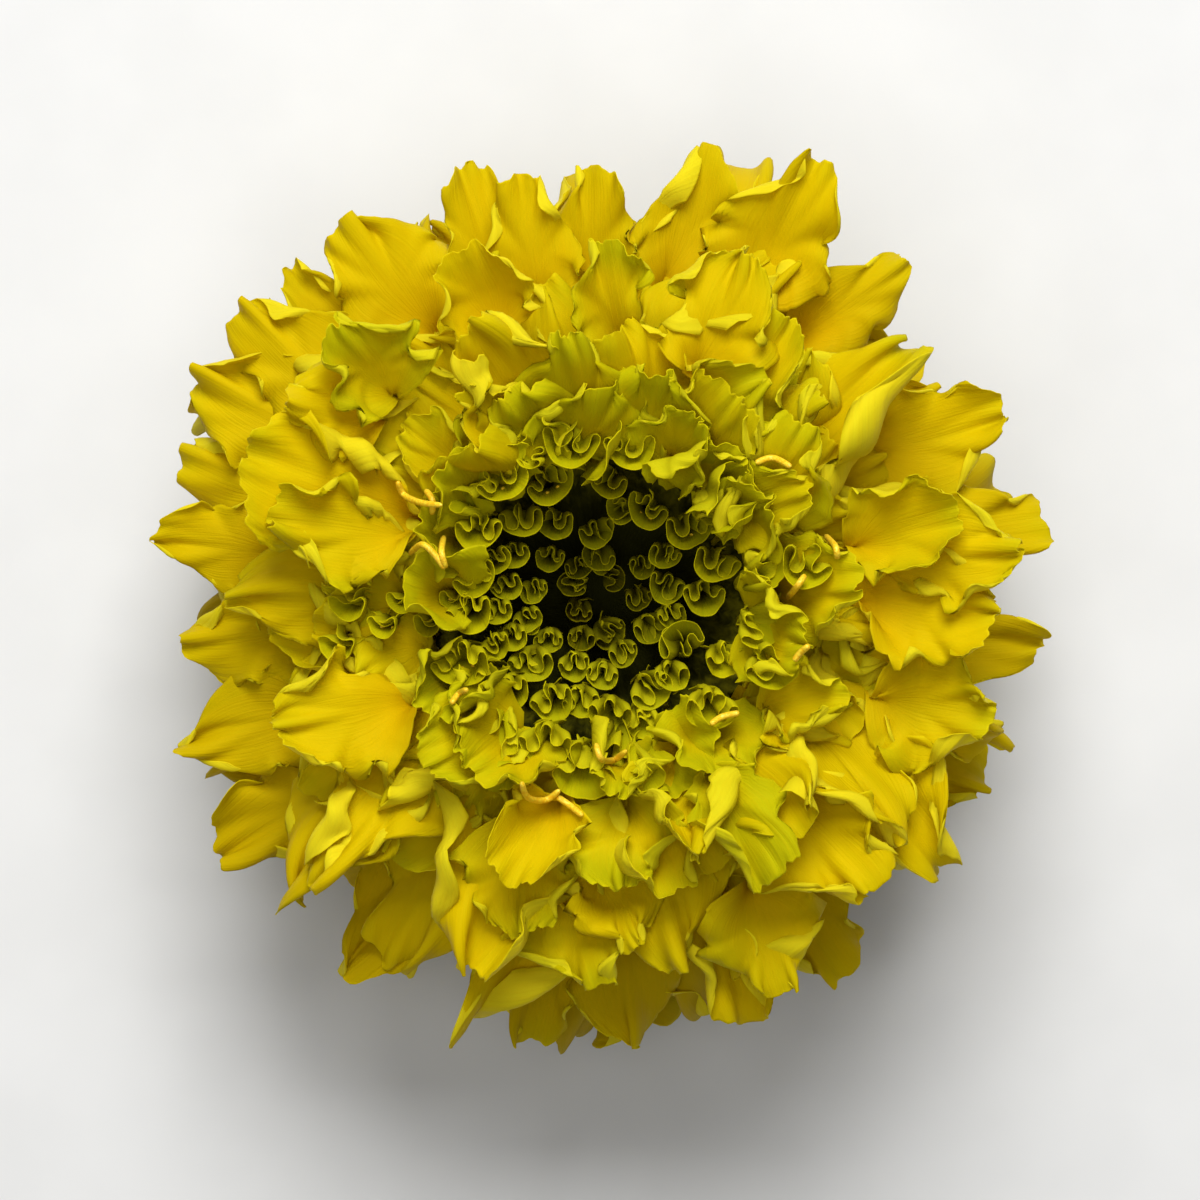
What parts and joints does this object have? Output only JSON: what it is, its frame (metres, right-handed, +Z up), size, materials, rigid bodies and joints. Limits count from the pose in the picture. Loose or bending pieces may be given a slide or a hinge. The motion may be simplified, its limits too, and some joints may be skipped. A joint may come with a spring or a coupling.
{
  "type": "african marigold flower",
  "caption": "Fully double marigold head, cut just under its calyx and set face up: ruffled yellow ray petals round a hollow of small green-yellow rolled florets.",
  "frame": {"origin": "centre of the flat cut end of the stalk, on the surface the flower rests on", "axes": "+Z up along the axis of the head; seen from above, +X is to the right of the picture and +Y to its top"},
  "size_m": [0.0818, 0.0836, 0.0451],
  "materials": {
    "calyx": "smooth green plant skin with fine ribs",
    "petal": "satin petal with fine radiating veins and a green-tinged, wavy rim",
    "young_floret": "satin young petal, lime green with a paler rim"
  },
  "bodies": {
    "root": {"calyx": "calyx", "ray_petals": "petal", "centre_florets": "young_floret"}
  },
  "joints": []
}
